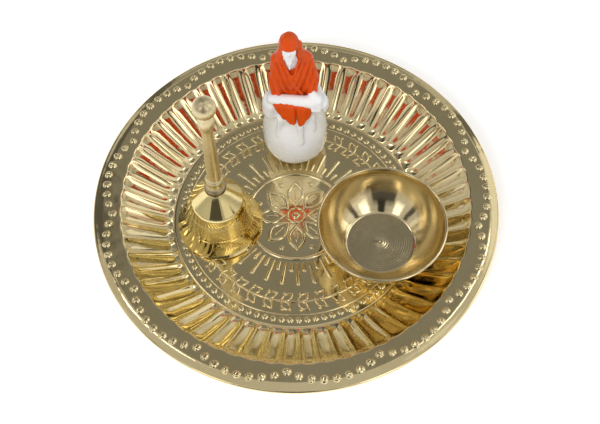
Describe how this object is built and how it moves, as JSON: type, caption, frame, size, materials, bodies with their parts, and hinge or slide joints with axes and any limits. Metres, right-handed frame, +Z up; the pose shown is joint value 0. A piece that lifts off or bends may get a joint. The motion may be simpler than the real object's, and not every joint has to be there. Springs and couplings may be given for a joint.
{
  "type": "puja thali",
  "caption": "Round embossed brass dish with a fluted wall and beaded rim, carrying a small bowl, a hand bell with a hanging clapper and a glazed seated figure.",
  "frame": {"origin": "middle of the dish, on the surface that it stands on", "axes": "+Z up, -Y towards the viewer of the picture, +X to the viewer's right"},
  "size_m": [0.2, 0.2, 0.106],
  "materials": {
    "dish_brass": "polished, pressed",
    "bowl_brass": "spun, satin turning marks",
    "bell_brass": "turned and polished",
    "handle_brass": "cast, slightly dull",
    "glaze_white": "glossy glaze, with an orange painted robe and head scarf"
  },
  "bodies": {
    "dish": {"plate": "dish_brass"},
    "bowl": {"bowl": "bowl_brass"},
    "bell": {"bell_body": "bell_brass", "bell_handle": "handle_brass", "clapper_eye": "handle_brass"},
    "clapper": {"clapper_rod": "handle_brass", "clapper_bob": "handle_brass"},
    "figure": {"figurine": "glaze_white"}
  },
  "joints": [
    {"name": "bowl_lift", "type": "slide", "parent": "dish", "child": "bowl", "axis": [0, 0, 1], "range_m": [0, 0.15]},
    {"name": "bell_lift", "type": "slide", "parent": "dish", "child": "bell", "axis": [0, 0, 1], "range_m": [0, 0.15]},
    {"name": "figure_lift", "type": "slide", "parent": "dish", "child": "figure", "axis": [0, 0, 1], "range_m": [0, 0.15]},
    {"name": "clapper_swing", "type": "hinge", "parent": "bell", "child": "clapper", "pos_m": [-0.03818, -0.00307, 0.02545], "axis": [1, 0, 0], "range_deg": [-34, 34]}
  ]
}
